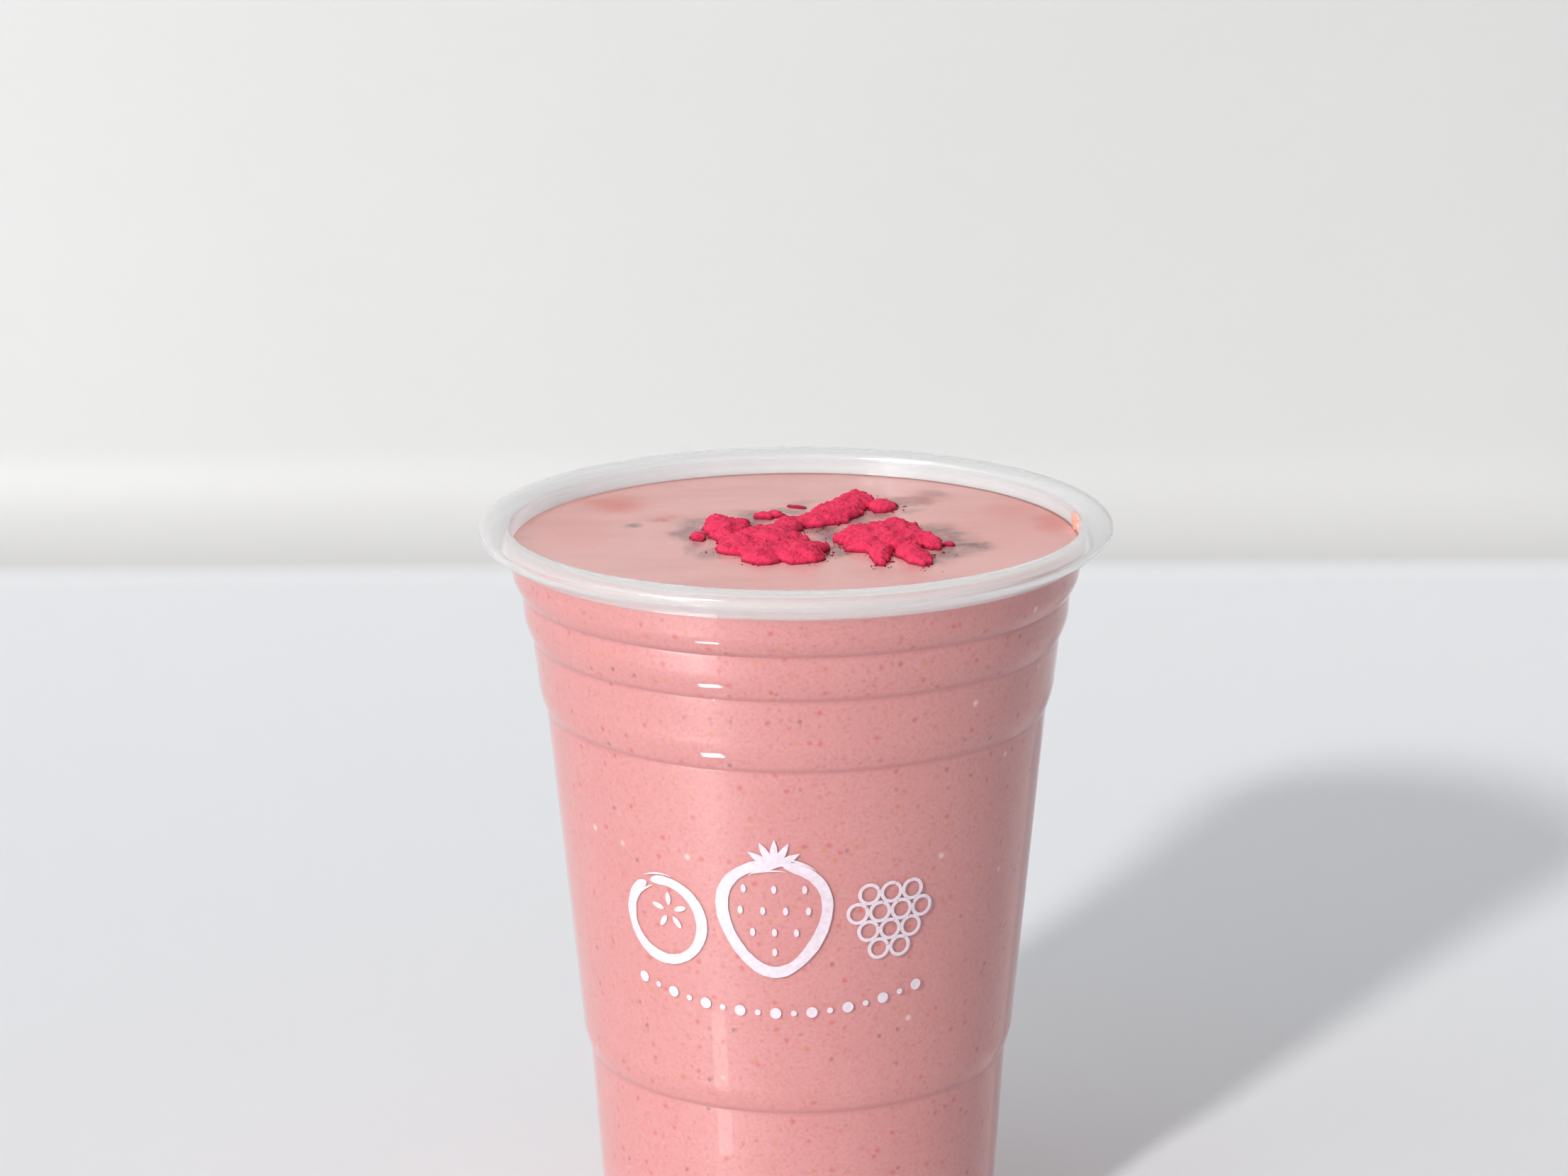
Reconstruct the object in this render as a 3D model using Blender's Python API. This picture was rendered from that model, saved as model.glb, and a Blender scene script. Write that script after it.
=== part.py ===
"""A berry smoothie in a clear thermoformed cup, with berry powder on the drink.

The cup is one thin sheet: a recessed floor, a tapered wall with four stacking steps,
and a rim that is curled outwards. The drink fills it nearly to the rim. Two heaps
of powder lie on the drink. Sizes are in millimetres; the model is in metres, +Z up,
with its origin at the centre of the foot on the table.
"""

import math
import random

import bmesh
import bpy
from mathutils import Matrix, Vector, noise

MM = 0.001

# The cup: its outside radii and heights above the table
RIM_RADIUS = 47.5
CUP_HEIGHT = 118.0
WALL = 0.5
FOOT_RADIUS = 30.0
FOOT_ROUNDING = 1.8
FOOT_WIDTH = 2.0
FLOOR_RECESS = 3.0
FLOOR_SLOPE = 2.0

# Each stacking step, from the top of the cup down:
# (height of its shoulder, radius there, height of its inner corner, radius there)
STEPS = (
    (110.4, 42.6, 107.2, 41.2),
    (104.6, 41.05, 100.3, 39.75),
    (94.0, 39.05, 89.2, 37.85),
    (39.3, 33.2, 34.8, 32.1),
)
STEP_CURVE = 1.7
STEP_POINTS = 3

# The curled rim, along the middle of the sheet
NECK_HEIGHT = 113.3
NECK_RADIUS = 42.95
CROWN_RISE = 1.1
CROWN_WIDTH = 4.3
CURL_ROUND = 1.4
CURL_DROP = 1.45
CURL_END = (43.75, 113.55)

# The drink, and the gap that it and the powder keep to what holds them
DRINK_LEVEL = 114.1
MENISCUS_RISE = 0.25
MENISCUS_WIDTH = 1.2
FIT_GAP = 0.3

# The powder heaps. Each lobe of a heap is
# (x, y, half length along y, half width, turn in degrees, height above the drink)
HEAPS = {
    "powder_left": (
        (-4.4, -2.5, 7.1, 6.1, 0, 1.8),
        (-11.3, 5.0, 7.6, 2.6, 6, 1.6),
        (-9.0, 6.4, 4.3, 2.0, -10, 1.4),
        (-8.5, -6.1, 4.9, 3.2, 20, 1.5),
        (-5.0, -11.1, 4.7, 3.2, 0, 1.7),
        (0.6, -10.6, 5.1, 3.9, 8, 1.9),
        (3.1, -8.2, 3.0, 1.5, -24, 1.3),
        (-1.3, 6.3, 5.8, 2.6, -14, 1.5),
        (3.2, 10.9, 4.6, 2.6, -20, 1.4),
        (6.6, 15.7, 7.5, 3.8, -14, 1.8),
        (9.3, 22.1, 5.7, 2.9, -10, 1.6),
        (13.5, 19.1, 3.1, 2.4, -5, 1.2),
    ),
    "powder_right": (
        (13.1, -0.3, 7.3, 6.0, 0, 1.8),
        (15.3, 4.8, 4.1, 3.4, 0, 1.6),
        (9.0, -0.8, 4.5, 2.9, -20, 1.5),
        (10.4, -6.3, 4.0, 2.6, 40, 1.4),
        (12.6, -10.8, 6.1, 1.6, 0, 1.4),
        (17.1, -10.5, 6.8, 2.4, 14, 1.6),
        (19.5, -2.5, 5.1, 1.8, 20, 1.3),
    ),
}

# Clumps of powder that lie alone, in the same form
LONE_CLUMPS = (
    (-4.9, 12.4, 1.7, 1.3, 0, 0.9),
    (-3.4, 14.6, 1.8, 1.6, -20, 0.8),
    (-14.7, 0.3, 1.6, 1.2, 10, 0.9),
    (-0.6, 18.7, 1.3, 2.2, 0, 0.4),
    (23.1, -5.0, 1.2, 1.0, 0, 0.6),
    (26.3, -5.7, 1.0, 1.3, 0, 0.4),
    (-25.0, 8.7, 0.7, 1.1, 0, 0.4),
)

# A lobe's relief: the share by which its surface swells, and the size of a clump
LUMPINESS = 0.25
CLUMP_SIZE = 2.4

# Crumbs on each lobe: their radii, and their places as shares of the way out and up
CRUMBS_PER_LOBE = 3
CRUMB_RADII = (0.6, 1.1)
CRUMB_PLACES = (0.35, 0.75)
CRUMB_SINK = 0.5
CRUMB_SHAPE = (1.0, 1.3, 0.65)

SEGMENTS = 48
SHARP_BEND = 28.0
CROWN_POINTS = 8
BEND_POINTS = 3
LOBE_DETAIL = 2
CRUMB_DETAIL = 1
WELD = 1e-6
RANDOM_SEED = 11


def ellipse_arc(centre, half_r, half_z, start, end, points):
    """Points of an ellipse about centre, in equal turns of its normal from start to end degrees."""
    arc = []
    for k in range(points + 1):
        normal = math.radians(start + (end - start) * k / points)
        reach = math.hypot(half_r * math.cos(normal), half_z * math.sin(normal))
        r = centre[0] + half_r**2 * math.cos(normal) / reach
        z = centre[1] + half_z**2 * math.sin(normal) / reach
        arc.append((r, z))
    return arc


def step_points(shoulder_z, shoulder_r, corner_z, corner_r):
    """One stacking step from its inner corner up: the radius falls as a power of the depth."""
    points = []
    for k in range(STEP_POINTS, -1, -1):
        depth = k / STEP_POINTS
        radius = shoulder_r - (shoulder_r - corner_r) * depth**STEP_CURVE
        points.append((radius, shoulder_z - (shoulder_z - corner_z) * depth))
    return points


def body_middle():
    """The middle of the cup's sheet, from the centre of its floor up to its neck."""
    half = WALL / 2
    foot_inner = FOOT_RADIUS - FOOT_ROUNDING - FOOT_WIDTH
    floor = [
        (0.0, FLOOR_RECESS + half),
        (foot_inner - FLOOR_SLOPE, FLOOR_RECESS + half),
        (foot_inner, half),
    ]
    foot_centre = (FOOT_RADIUS - FOOT_ROUNDING, FOOT_ROUNDING)
    foot_bend = FOOT_ROUNDING - half
    foot = ellipse_arc(foot_centre, foot_bend, foot_bend, -90, 0, BEND_POINTS)
    wall = []
    for step in reversed(STEPS):
        wall += [(radius - half, height) for radius, height in step_points(*step)]
    neck = [(NECK_RADIUS - half, NECK_HEIGHT)]
    return floor + foot + wall + neck


def rim_middle():
    """The middle of the cup's sheet over the crown of its rim and down to the end of the curl."""
    half = WALL / 2
    crown_height = CUP_HEIGHT - half - CROWN_RISE
    outermost = RIM_RADIUS - half
    crown_centre = (outermost - CROWN_WIDTH / 2, crown_height)
    crown = ellipse_arc(crown_centre, CROWN_WIDTH / 2, CROWN_RISE, 180, 0, CROWN_POINTS)
    under_centre = (outermost - CURL_ROUND, crown_height)
    under = ellipse_arc(under_centre, CURL_ROUND, CURL_DROP, 0, -90, BEND_POINTS)[1:]
    return crown + under + [CURL_END]


def beside(path, distance):
    """The path moved sideways by distance, to the left of its direction, with mitred bends."""
    points = [Vector(point) for point in path]
    runs = [(b - a).normalized() for a, b in zip(points, points[1:])]
    before = [runs[0]] + runs
    after = runs + [runs[-1]]
    moved = []
    for point, into, out in zip(points, before, after):
        along = (into + out).normalized()
        place = point + Vector((-along.y, along.x)) * distance / along.dot(into)
        moved.append((0.0 if point.x == 0 else place.x, place.y))
    return moved


def material(name, colour, roughness, metallic=0.0, alpha=1.0):
    """A Principled material; colour is linear red, green and blue."""
    made = bpy.data.materials.new(name)
    made.use_nodes = True
    shader = made.node_tree.nodes["Principled BSDF"]
    shader.inputs["Base Color"].default_value = (*colour, 1.0)
    shader.inputs["Roughness"].default_value = roughness
    shader.inputs["Metallic"].default_value = metallic
    shader.inputs["Alpha"].default_value = alpha
    return made


def turned(name, outline, finish):
    """An object turned about Z from an outline of (radius, height) that starts and ends on the axis."""
    form = bmesh.new()
    corners = [form.verts.new((r * MM, 0.0, z * MM)) for r, z in outline]
    edges = [form.edges.new(pair) for pair in zip(corners, corners[1:])]
    bmesh.ops.spin(
        form,
        geom=corners + edges,
        cent=(0.0, 0.0, 0.0),
        axis=(0.0, 0.0, 1.0),
        angle=math.tau,
        steps=SEGMENTS,
    )
    bmesh.ops.remove_doubles(form, verts=form.verts, dist=WELD)
    bmesh.ops.recalc_face_normals(form, faces=form.faces)
    mesh = bpy.data.meshes.new(name)
    form.to_mesh(mesh)
    form.free()
    mesh.materials.append(finish)
    mesh.shade_smooth()
    mesh.set_sharp_from_angle(angle=math.radians(SHARP_BEND))
    made = bpy.data.objects.new(name, mesh)
    bpy.context.scene.collection.objects.link(made)
    return made


def pebble(name, centre, half_sizes, turn, detail, finish, lumpiness=0.0):
    """A lump: an icosphere stretched to its half sizes, swollen and dented by smooth noise."""
    form = bmesh.new()
    bmesh.ops.create_icosphere(form, subdivisions=detail, radius=1.0)
    stretch = Matrix.Diagonal((*half_sizes, 1.0))
    place = Matrix.Translation(Vector(centre)) @ Matrix.Rotation(math.radians(turn), 4, "Z")
    bmesh.ops.transform(form, matrix=place @ stretch, verts=form.verts)
    for vertex in form.verts:
        swell = 1.0 + lumpiness * noise.noise(vertex.co / CLUMP_SIZE)
        vertex.co = (Vector(centre) + (vertex.co - Vector(centre)) * swell) * MM
    mesh = bpy.data.meshes.new(name)
    form.to_mesh(mesh)
    form.free()
    mesh.materials.append(finish)
    made = bpy.data.objects.new(name, mesh)
    bpy.context.scene.collection.objects.link(made)
    return made


def block_below(height):
    """A block wider than the cup, with its top face at the height."""
    form = bmesh.new()
    bmesh.ops.create_cube(form, size=2 * CUP_HEIGHT * MM)
    shift = Vector((0.0, 0.0, (height - CUP_HEIGHT) * MM))
    bmesh.ops.translate(form, verts=form.verts, vec=shift)
    mesh = bpy.data.meshes.new("block")
    form.to_mesh(mesh)
    form.free()
    made = bpy.data.objects.new("block", mesh)
    bpy.context.scene.collection.objects.link(made)
    return made


def combine(base, others, operation):
    """One Boolean of the other objects with base, applied, with the others then removed."""
    group = bpy.data.collections.new("joined")
    bpy.context.scene.collection.children.link(group)
    for other in others:
        bpy.context.scene.collection.objects.unlink(other)
        group.objects.link(other)
    boolean = base.modifiers.new("join", "BOOLEAN")
    boolean.operation = operation
    boolean.operand_type = "COLLECTION"
    boolean.collection = group
    boolean.solver = "EXACT"
    graph = bpy.context.evaluated_depsgraph_get()
    joined = bpy.data.meshes.new_from_object(base.evaluated_get(graph))
    base.modifiers.clear()
    base.data = joined
    for other in others:
        bpy.data.objects.remove(other)
    bpy.data.collections.remove(group)


def lobe_crumbs(lobe, floor, finish, chance):
    """Crumbs half sunk in a lobe, at random places between its middle and its edge."""
    x, y, length, width, turn, height = lobe
    crumbs = []
    for _ in range(CRUMBS_PER_LOBE):
        angle = chance.uniform(0, math.tau)
        out = chance.uniform(*CRUMB_PLACES)
        across = Vector((width * out * math.cos(angle), length * out * math.sin(angle), 0))
        across.rotate(Matrix.Rotation(math.radians(turn), 3, "Z"))
        lift = (height - FIT_GAP) * math.sqrt(1 - out * out) * CRUMB_SINK
        size = chance.uniform(*CRUMB_RADII)
        sizes = [size * share for share in CRUMB_SHAPE]
        place = (x + across.x, y + across.y, floor + lift)
        spin = math.degrees(chance.uniform(0, math.tau))
        crumbs.append(pebble("crumb", place, sizes, spin, CRUMB_DETAIL, finish))
    return crumbs


def heap(name, lobes, finish, chance):
    """A heap of powder: flattened lobes and crumbs joined, and cut flat just above the drink."""
    floor = DRINK_LEVEL + FIT_GAP
    parts = []
    for lobe in lobes:
        x, y, length, width, turn, height = lobe
        sizes = (width, length, height - FIT_GAP)
        parts.append(pebble(name, (x, y, floor), sizes, turn, LOBE_DETAIL, finish, LUMPINESS))
        parts += lobe_crumbs(lobe, floor, finish, chance)
    whole, others = parts[0], parts[1:]
    combine(whole, others, "UNION")
    combine(whole, [block_below(floor)], "DIFFERENCE")


def cup(finish):
    """The cup: its sheet's outside and inside, closed at the end of the curl."""
    middle = body_middle() + rim_middle()
    outside = beside(middle, -WALL / 2)
    inside = beside(middle, WALL / 2)
    turned("cup", outside + inside[::-1], finish)


def smoothie(finish):
    """The drink, up to its level, with the clumps of powder that lie alone fused on top."""
    side = beside(body_middle(), WALL / 2 + FIT_GAP)
    edge = side[-1][0]
    top = [
        (edge, DRINK_LEVEL + MENISCUS_RISE),
        (edge - MENISCUS_WIDTH, DRINK_LEVEL),
        (0.0, DRINK_LEVEL),
    ]
    drink = turned("smoothie", side + top, finish)
    clumps = []
    for x, y, length, width, turn, height in LONE_CLUMPS:
        place = (x, y, DRINK_LEVEL)
        clumps.append(pebble("clump", place, (width, length, height), turn, CRUMB_DETAIL, finish))
    combine(drink, clumps, "UNION")


def main():
    for old in list(bpy.data.objects):
        bpy.data.objects.remove(old)
    chance = random.Random(RANDOM_SEED)
    cup(material("clear_polypropylene", (0.90, 0.91, 0.92), 0.10, alpha=0.3))
    smoothie(material("berry_drink", (0.80, 0.33, 0.32), 0.35))
    powder = material("berry_powder", (0.66, 0.02, 0.09), 0.90)
    for name, lobes in HEAPS.items():
        heap(name, lobes, powder, chance)


main()
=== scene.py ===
import bpy
import math
import numpy as np
from mathutils import Matrix, Vector


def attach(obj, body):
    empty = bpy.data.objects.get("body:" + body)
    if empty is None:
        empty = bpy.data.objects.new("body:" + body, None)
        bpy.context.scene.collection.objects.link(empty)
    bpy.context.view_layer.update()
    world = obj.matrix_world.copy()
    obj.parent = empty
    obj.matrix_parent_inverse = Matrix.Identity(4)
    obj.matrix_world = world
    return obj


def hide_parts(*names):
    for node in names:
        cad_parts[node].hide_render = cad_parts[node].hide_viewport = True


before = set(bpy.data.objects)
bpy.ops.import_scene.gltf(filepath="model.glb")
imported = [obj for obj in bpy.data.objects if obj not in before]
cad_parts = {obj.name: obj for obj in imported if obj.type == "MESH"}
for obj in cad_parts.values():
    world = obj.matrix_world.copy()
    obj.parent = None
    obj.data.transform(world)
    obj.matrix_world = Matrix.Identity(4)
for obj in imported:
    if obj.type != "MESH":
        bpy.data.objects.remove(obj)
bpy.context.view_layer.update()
MM = 0.001


# THE CUP'S SHEET
# A cold-drink cup of clarified polypropylene, drawn into a cooled mould from one hot sheet, so the
# wall is thin, clear and smooth. Four steps keep stacked cups apart, and the rim is curled outwards
# in a heated roller, which leaves an open roll that catches the light in streaks.
RIM_RADIUS = 47.5
CUP_HEIGHT = 118.0
WALL = 0.5
FOOT_RADIUS = 30.0
FOOT_ROUNDING = 1.8
FOOT_WIDTH = 2.0
FLOOR_RECESS = 3.0
FLOOR_SLOPE = 2.0
# Each step, from the top down: height of its shoulder, radius there, height of its corner, radius there
STEPS = (
    (110.4, 42.6, 107.2, 41.2),
    (104.6, 41.05, 100.3, 39.75),
    (94.0, 39.05, 89.2, 37.85),
    (39.3, 33.2, 34.8, 32.1),
)
STEP_CURVE = 1.7
STEP_POINTS = 12
BEND_REACH = 0.3
PINCH_DEPTH = 0.03
PINCH_WIDTH = 0.34
NECK_HEIGHT = 113.3
NECK_RADIUS = 42.95
CROWN_RISE = 1.1
CROWN_WIDTH = 4.3
CURL_ROUND = 1.4
CURL_DROP = 1.45
CURL_END = (43.75, 113.55)
CUP_SEGMENTS = 192
# Heights on the neck where a milky film starts, where it is full and where it ends: partly dried froth,
# partly painted light for the clear neck
MILKY_NECK_START, MILKY_NECK_FULL, MILKY_NECK_END = 114.3, 115.3, 117.1


def ellipse_arc(centre, half_r, half_z, start, end, points):
    """Points of an ellipse in equal turns of its normal: each lies where the support line touches."""
    normal = np.radians(np.linspace(start, end, points + 1))
    reach = np.hypot(half_r * np.cos(normal), half_z * np.sin(normal))
    r = centre[0] + half_r**2 * np.cos(normal) / reach
    z = centre[1] + half_z**2 * np.sin(normal) / reach
    return np.stack([r, z], axis=1)


def pinched(wall):
    """The wall with a small groove at each corner, where the sheet was drawn over the mould's edge:
    the radius is less by d exp(-(t / w) squared) at the height t from the corner."""
    corner = np.array([step[2] for step in STEPS])
    near = corner[:, None] + PINCH_WIDTH * np.linspace(-2.4, 2.4, 17)
    z = np.unique(np.concatenate([wall[:, 1], near.ravel()]))
    dip = np.exp(-(((z - corner[:, None]) / PINCH_WIDTH) ** 2)).sum(axis=0) * PINCH_DEPTH
    return np.stack([np.interp(z, wall[:, 1], wall[:, 0]) - dip, z], axis=1)


def body_middle():
    """The middle of the sheet from the centre of the floor up to the neck; in each step the radius
    falls from shoulder to corner as a power of the depth below the shoulder."""
    half = WALL / 2
    foot_inner = FOOT_RADIUS - FOOT_ROUNDING - FOOT_WIDTH
    floor_z = FLOOR_RECESS + half
    floor = [(0.0, floor_z), (foot_inner - FLOOR_SLOPE, floor_z), (foot_inner, half)]
    bend = FOOT_ROUNDING - half
    foot = ellipse_arc((FOOT_RADIUS - FOOT_ROUNDING, FOOT_ROUNDING), bend, bend, -90, 0, 8)
    wall = [foot[-1:]]
    depth = np.linspace(1.0, 0.0, STEP_POINTS + 1)
    for shoulder_z, shoulder_r, corner_z, corner_r in reversed(STEPS):
        r = shoulder_r - (shoulder_r - corner_r) * depth**STEP_CURVE - half
        z = shoulder_z - (shoulder_z - corner_z) * depth
        wall.append(np.stack([r, z], axis=1))
    wall.append(np.array([(NECK_RADIUS - half, NECK_HEIGHT)]))
    return np.concatenate([floor, foot[:-1], pinched(supported(np.concatenate(wall), BEND_REACH))])


def rim_middle():
    """The middle of the sheet over the flattened crown and round the curl to its open end."""
    half = WALL / 2
    crown_height = CUP_HEIGHT - half - CROWN_RISE
    outermost = RIM_RADIUS - half
    middle = (outermost - CROWN_WIDTH / 2, crown_height)
    crown = ellipse_arc(middle, CROWN_WIDTH / 2, CROWN_RISE, 180, 0, 26)
    under = ellipse_arc((outermost - CURL_ROUND, crown_height), CURL_ROUND, CURL_DROP, 0, -90, 10)[1:]
    return np.concatenate([crown, under, [CURL_END]])


def supported(path, reach):
    """The path with two more points in each long run, the reach from its ends, so that smooth
    shading rounds a bend off over no more than the reach."""
    runs = np.diff(path, axis=0)
    length = np.linalg.norm(runs, axis=1, keepdims=True)
    long = length[:, 0] > 3 * reach
    step = (runs / length * reach)[long]
    order = np.arange(len(path))
    points = np.concatenate([path, path[:-1][long] + step, path[1:][long] - step])
    key = np.concatenate([order, order[:-1][long] + 0.3, order[:-1][long] + 0.7])
    return points[np.argsort(key)]


def beside(path, distance):
    """The path moved to the left of its direction by the distance, with mitred bends."""
    runs = np.diff(path, axis=0)
    runs /= np.linalg.norm(runs, axis=1, keepdims=True)
    into = np.concatenate([runs[:1], runs])
    out = np.concatenate([runs, runs[-1:]])
    along = into + out
    along /= np.linalg.norm(along, axis=1, keepdims=True)
    mitre = distance / np.sum(along * into, axis=1, keepdims=True)
    moved = path + np.stack([-along[:, 1], along[:, 0]], axis=1) * mitre
    moved[path[:, 0] == 0, 0] = 0.0
    return moved


def revolved(outline, segments):
    """A closed turned surface: point (r, z) of the outline at angle a goes to (r cos a, r sin a, z).
    The outline starts and ends on the axis and has the solid on its left."""
    angle = np.linspace(0, math.tau, segments, endpoint=False)
    r, z = outline[1:-1, :1], outline[1:-1, 1:]
    grid = np.stack([r * np.cos(angle), r * np.sin(angle), z + 0 * angle], axis=2)
    points = np.concatenate([grid.reshape(-1, 3), [[0, 0, outline[0, 1]], [0, 0, outline[-1, 1]]]])
    rings = len(outline) - 2
    here = np.arange(rings * segments).reshape(rings, segments)
    beyond = np.roll(here, -1, axis=1)
    quads = np.stack([here[:-1], beyond[:-1], beyond[1:], here[1:]], axis=2).reshape(-1, 4)
    first, last = rings * segments, rings * segments + 1
    start_fan = np.stack([beyond[0], here[0], np.full(segments, first)], axis=1)
    end_fan = np.stack([here[-1], beyond[-1], np.full(segments, last)], axis=1)
    return points, quads.tolist() + start_fan.tolist() + end_fan.tolist()


def add_piece(name, points, faces, finish):
    """A smooth mesh object from points in millimetres, riding on the cup's one body."""
    mesh = bpy.data.meshes.new(name)
    mesh.from_pydata((points * MM).tolist(), [], faces)
    mesh.materials.append(finish)
    mesh.shade_smooth()
    made = bpy.data.objects.new(name, mesh)
    bpy.context.scene.collection.objects.link(made)
    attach(made, "root")
    return made


def linear(colour):
    """An sRGB hex colour as linear red, green, blue and alpha."""
    value = np.array([int(colour[k:k + 2], 16) for k in (1, 3, 5)]) / 255
    value = np.where(value <= 0.04045, value / 12.92, ((value + 0.055) / 1.055) ** 2.4)
    return (*value.tolist(), 1.0)


def node(tree, kind, settings=None, links=None, **properties):
    """Adds a shader node, sets its properties and input values, and links its inputs to outputs."""
    made = tree.nodes.new(kind)
    for name, value in properties.items():
        setattr(made, name, value)
    for name, value in (settings or {}).items():
        made.inputs[name].default_value = value
    for name, source in (links or {}).items():
        tree.links.new(source, made.inputs[name])
    return made


def noise(tree, place, scale, detail, **settings):
    """Noise with the scale in cells to the metre; gives its value."""
    values = {"Scale": scale, "Detail": detail, **settings}
    return node(tree, "ShaderNodeTexNoise", values, {"Vector": place}).outputs[0]


def ranged(tree, value, start, end, low=0.0, high=1.0, **properties):
    """The value's range from start to end turned into low to high, and kept inside it."""
    values = {"From Min": start, "From Max": end, "To Min": low, "To Max": high}
    return node(tree, "ShaderNodeMapRange", values, {"Value": value}, **properties).outputs[0]


def combined(tree, kind, first, second):
    """Two values, each a number or a node's output, put through a calculation."""
    inputs = {0: first, 1: second}
    values = {k: v for k, v in inputs.items() if isinstance(v, float)}
    links = {k: v for k, v in inputs.items() if not isinstance(v, float)}
    return node(tree, "ShaderNodeMath", values, links, operation=kind).outputs[0]


def blended(tree, amount, first, second):
    """A mix of two colours, each a hex text or a node's output, by the amount of the second."""
    inputs = {6: first, 7: second}
    values = {k: linear(v) for k, v in inputs.items() if isinstance(v, str)}
    links = {k: v for k, v in inputs.items() if not isinstance(v, str)}
    return node(tree, "ShaderNodeMix", values, {0: amount, **links}, data_type="RGBA").outputs[2]


def new_material(name):
    """A material with an empty node tree and its output node."""
    made = bpy.data.materials.new(name)
    made.use_nodes = True
    made.node_tree.nodes.clear()
    return made, made.node_tree, made.node_tree.nodes.new("ShaderNodeOutputMaterial")


def clear_sheet():
    """Clarified polypropylene: clear and colourless, refracting like all plastics, and drawn upwards
    in the mould, which leaves faint upright waves in its gloss. The rim was heated again to curl
    it, so it is milkier and less glossy than the wall."""
    made, tree, output = new_material("clarified_polypropylene_thermoformed")
    place = node(tree, "ShaderNodeTexCoord").outputs["Object"]
    height = node(tree, "ShaderNodeSeparateXYZ", links={0: place}).outputs["Z"]
    rim = ranged(tree, height, (NECK_HEIGHT - 0.5) * MM, (NECK_HEIGHT + 1.5) * MM)
    # Waves about 6 mm apart round the wall and 60 mm long up it, nearly gone on the rim
    stretched = node(tree, "ShaderNodeMapping", {"Scale": (160, 160, 16)}, {"Vector": place})
    waves = noise(tree, stretched.outputs[0], 1.0, 1.0)
    wavy = combined(tree, "MULTIPLY", waves, combined(tree, "SUBTRACT", 1.02, rim))
    bump = node(tree, "ShaderNodeBump", {"Strength": 0.3, "Distance": 0.00006}, {"Height": wavy})
    plastic = node(
        tree,
        "ShaderNodeBsdfPrincipled",
        {"Base Color": linear("#FCFDFD"), "IOR": 1.49, "Transmission Weight": 1.0},
        {"Normal": bump.outputs[0], "Roughness": ranged(tree, rim, 0.0, 1.0, 0.055, 0.07)},
    )
    reflected = node(tree, "ShaderNodeBsdfDiffuse", {"Color": linear("#FBFBFB")})
    let_through = node(tree, "ShaderNodeBsdfTranslucent", {"Color": linear("#FBFBFB")})
    milk = node(tree, "ShaderNodeMixShader", {0: 0.5}, {1: reflected.outputs[0], 2: let_through.outputs[0]})
    # A milky film on the neck, above the drink: partly dried froth, partly painted light that makes the
    # clear neck as bright as the pale room seen through it
    dried = ranged(tree, height, MILKY_NECK_END * MM, MILKY_NECK_FULL * MM, 0.0, 0.35)
    above = combined(tree, "GREATER_THAN", height, MILKY_NECK_START * MM)
    film = combined(tree, "MULTIPLY", dried, above)
    haze = combined(tree, "ADD", ranged(tree, rim, 0.0, 1.0, 0.08, 0.12), film)
    sheet = node(tree, "ShaderNodeMixShader", links={0: haze, 1: plastic.outputs[0], 2: milk.outputs[0]})
    # Lamps and soft light pass the thin sheet unbent, which keeps what is behind it lit
    passing = node(tree, "ShaderNodeBsdfTransparent", {"Color": linear("#F8F9F9")})
    path = node(tree, "ShaderNodeLightPath")
    unbent = combined(tree, "MAXIMUM", path.outputs["Is Shadow Ray"], path.outputs["Is Diffuse Ray"])
    both = node(tree, "ShaderNodeMixShader", links={0: unbent, 1: sheet.outputs[0], 2: passing.outputs[0]})
    tree.links.new(both.outputs[0], output.inputs["Surface"])
    return made


sheet_middle = np.concatenate([body_middle(), rim_middle()])
sheet_outside = beside(sheet_middle, -WALL / 2)
sheet_inside = beside(sheet_middle, WALL / 2)
cup_points, cup_faces = revolved(np.concatenate([sheet_outside, sheet_inside[::-1]]), CUP_SEGMENTS)
cup_sheet = add_piece("cup_sheet", cup_points, cup_faces, clear_sheet())
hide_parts("cup")


# THE POWDER HEAPS
# Freeze-dried berries, ground fine and dropped on from a spoon, so the heaps are soft lobes with
# steep edges. The powder is dry and velvety on top and darker round its foot, partly wet from the drink and
# partly painted shade.
DRINK_LEVEL = 114.1
# Each lobe: x, y, half length along y, half width, turn in degrees, height above the drink
HEAPS = {
    "powder_left": (
        (-4.4, -2.5, 7.1, 6.1, 0, 1.8),
        (-11.3, 5.0, 7.6, 2.6, 6, 1.6),
        (-9.0, 6.4, 4.3, 2.0, -10, 1.4),
        (-8.5, -6.1, 4.9, 3.2, 20, 1.5),
        (-5.0, -11.1, 4.7, 3.2, 0, 1.7),
        (0.6, -10.6, 5.1, 3.9, 8, 1.9),
        (3.1, -8.2, 3.0, 1.5, -24, 1.3),
        (-1.3, 6.3, 5.8, 2.6, -14, 1.5),
        (3.2, 10.9, 4.6, 2.6, -20, 1.4),
        (6.6, 15.7, 7.5, 3.8, -14, 1.8),
        (9.3, 22.1, 5.7, 2.9, -10, 1.6),
        (13.5, 19.1, 3.1, 2.4, -5, 1.2),
    ),
    "powder_right": (
        (13.1, -0.3, 7.3, 6.0, 0, 1.8),
        (15.3, 4.8, 4.1, 3.4, 0, 1.6),
        (9.0, -0.8, 4.5, 2.9, -20, 1.5),
        (10.4, -6.3, 4.0, 2.6, 40, 1.4),
        (12.6, -10.8, 6.1, 1.6, 0, 1.4),
        (17.1, -10.5, 6.8, 2.4, 14, 1.6),
        (19.5, -2.5, 5.1, 1.8, 20, 1.3),
    ),
}
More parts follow.
